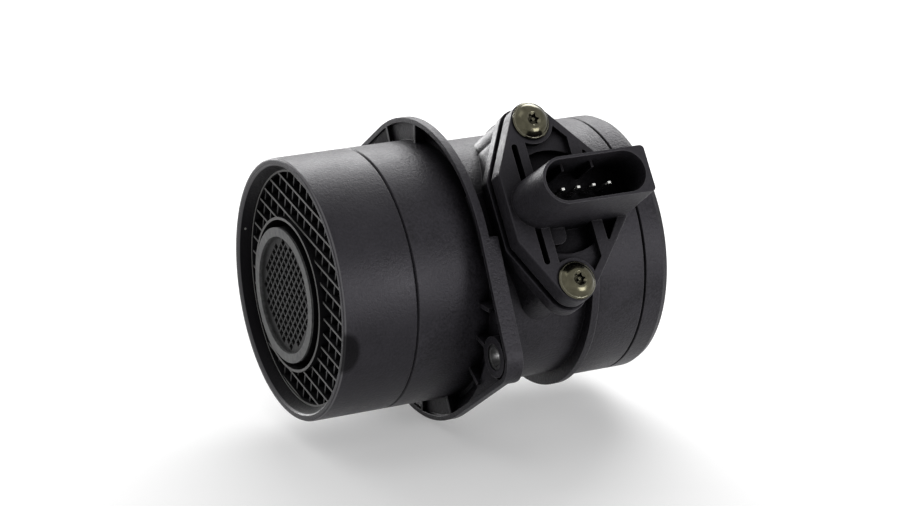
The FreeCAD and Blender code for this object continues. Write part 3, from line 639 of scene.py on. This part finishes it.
def metal(name, dark, pale, smooth, rough, blotch, scratches, scratch_depth, edge_radius, edge_highlight_colour,
          edge_highlight_share=0.5):
    """A worn metal between two colours and two roughnesses, with scratches, a painted highlight on its
    edges and painted shade in its recesses.
    """
    material = new_material(name)
    where = object_coordinates(material)
    patina = noise(material, where, blotch, detail=5.0, roughness=0.65)
    stretched = add(material, "ShaderNodeMapping", values={"Scale": scratches})
    link(material, where, "Object", stretched, "Vector")
    scratch = add(material, "ShaderNodeTexNoise", values={"Scale": 1.0, "Detail": 3.0})
    link(material, stretched, "Vector", scratch, "Vector")

    # Painted highlight on edges and painted shade in recesses, both in the base colour.
    bevel, edge_highlight_mask = rounded_edges(material, edge_radius)
    recess_shade = shut_in(material, recess_reach)
    colour = two_tone(material, patina, "Fac", dark, pale).outputs["Color"]
    with_edge_highlights = mix_colour(material, edge_highlight_mask, "Result", colour, edge_highlight_colour, edge_highlight_share)
    with_recess_shade = mix_colour(material, recess_shade, "Result", with_edge_highlights, deep_black, recess_shade_share)
    roughness = span(material, patina, "Fac", *usual_noise, smooth, rough)
    scratched = raised(material, scratch, "Fac", bevel, scratch_depth, scratch_strength)
    shader = add(material, "ShaderNodeBsdfPrincipled", values={"Metallic": 1.0})
    material.node_tree.links.new(with_recess_shade, shader.inputs["Base Color"])
    link(material, roughness, "Result", shader, "Roughness")
    link(material, scratched, "Normal", shader, "Normal")
    surface(material, shader)
    return material


print("metal recipe: recesses within", recess_reach / mm, "mm darken")

# %% Screws and bushings
screw = metal(
    "screw_steel", dark=(0.035, 0.033, 0.022), pale=(0.125, 0.118, 0.082), smooth=0.12, rough=0.26,
    blotch=2.4 * mm, scratches=(2200, 2200, 2200), scratch_depth=0.006 * mm,
    edge_radius=0.22 * mm, edge_highlight_colour=(0.42, 0.41, 0.34), edge_highlight_share=0.7)
dress(screw, "upper_sensor_screw", "lower_sensor_screw")

bushing = metal(
    "bushing_steel", dark=(0.08, 0.08, 0.08), pale=(0.20, 0.20, 0.20), smooth=0.32, rough=0.5,
    blotch=1.5 * mm, scratches=(300, 4000, 4000), scratch_depth=0.008 * mm,
    edge_radius=0.15 * mm, edge_highlight_colour=(0.4, 0.4, 0.4))
dress(bushing, "near_flange_bushing", "far_flange_bushing")

# %% Blades and carrier
blade = metal(
    "terminal_plating", dark=(0.55, 0.55, 0.53), pale=(0.80, 0.80, 0.77), smooth=0.16, rough=0.30,
    blotch=1.2 * mm, scratches=(4000, 600, 600), scratch_depth=0.003 * mm,
    edge_radius=0.12 * mm, edge_highlight_colour=(0.9, 0.9, 0.88))
dress(blade, *["connector_terminal_%d" % i for i in (1, 2, 3, 4)])

carrier = metal(
    "carrier_metal", dark=(0.42, 0.43, 0.44), pale=(0.60, 0.61, 0.62), smooth=0.28, rough=0.42,
    blotch=4.0 * mm, scratches=(200, 5000, 5000), scratch_depth=0.004 * mm,
    edge_radius=0.1 * mm, edge_highlight_colour=(0.8, 0.8, 0.8))
dress(carrier, "carrier_plate")

# %% [markdown]
# ## Pieces inside the probe
# The board, the chip and the temperature bead are behind the cover and can't be seen in the photograph,
# but they show when a piece is taken off, so each has its own finish. The board's green lacquer lies over
# copper tracks, which a brick pattern stands for. The chip is dark glassy ceramic, and the bead is a drop
# of brown resin.

# %% Board
board = new_material("board_laminate")
where = object_coordinates(board)
green, paler_green = (0.012, 0.085, 0.030, 1.0), (0.016, 0.110, 0.038, 1.0)
green_over_copper = (0.045, 0.200, 0.070, 1.0)
tracks = add(board, "ShaderNodeTexBrick", offset=0.5,
             values={"Scale": 1.0, "Mortar Size": 0.18 * mm, "Mortar Smooth": 0.1,
                     "Brick Width": 4.4 * mm, "Row Height": 1.3 * mm,
                     "Color1": green, "Color2": paler_green, "Mortar": green_over_copper})
link(board, where, "Object", tracks, "Vector")
weave = noise(board, where, size=0.6 * mm)
lacquer = span(board, weave, "Fac", *usual_noise, to_low=0.18, to_high=0.34)
lines = raised(board, tracks, "Fac", None, depth=0.03 * mm, strength=0.5)
shader = add(board, "ShaderNodeBsdfPrincipled", values={"Coat Weight": 0.4, "Coat Roughness": 0.12})
link(board, tracks, "Color", shader, "Base Color")
link(board, lacquer, "Result", shader, "Roughness")
link(board, lines, "Normal", shader, "Normal")
surface(board, shader)
dress(board, "circuit_board")

# %% Chip and bead
chip, _ = moulded_plastic(
    "chip_ceramic", dark=(0.010, 0.011, 0.016), pale=(0.022, 0.024, 0.034),
    smooth=0.08, rough=0.2, grain_size=0.4 * mm, grain_depth=0.002 * mm, edge_radius=0.06 * mm,
    edge_highlight_colour=(0.10, 0.11, 0.14), specular=0.6)
dress(chip, "sensing_element")

bead, _ = moulded_plastic(
    "bead_resin", dark=(0.060, 0.022, 0.008), pale=(0.115, 0.045, 0.016),
    smooth=0.12, rough=0.28, grain_size=0.5 * mm, grain_depth=0.01 * mm, edge_radius=0.1 * mm,
    edge_highlight_colour=(0.2, 0.09, 0.04), specular=0.5)
dress(bead, "air_temperature_bead")
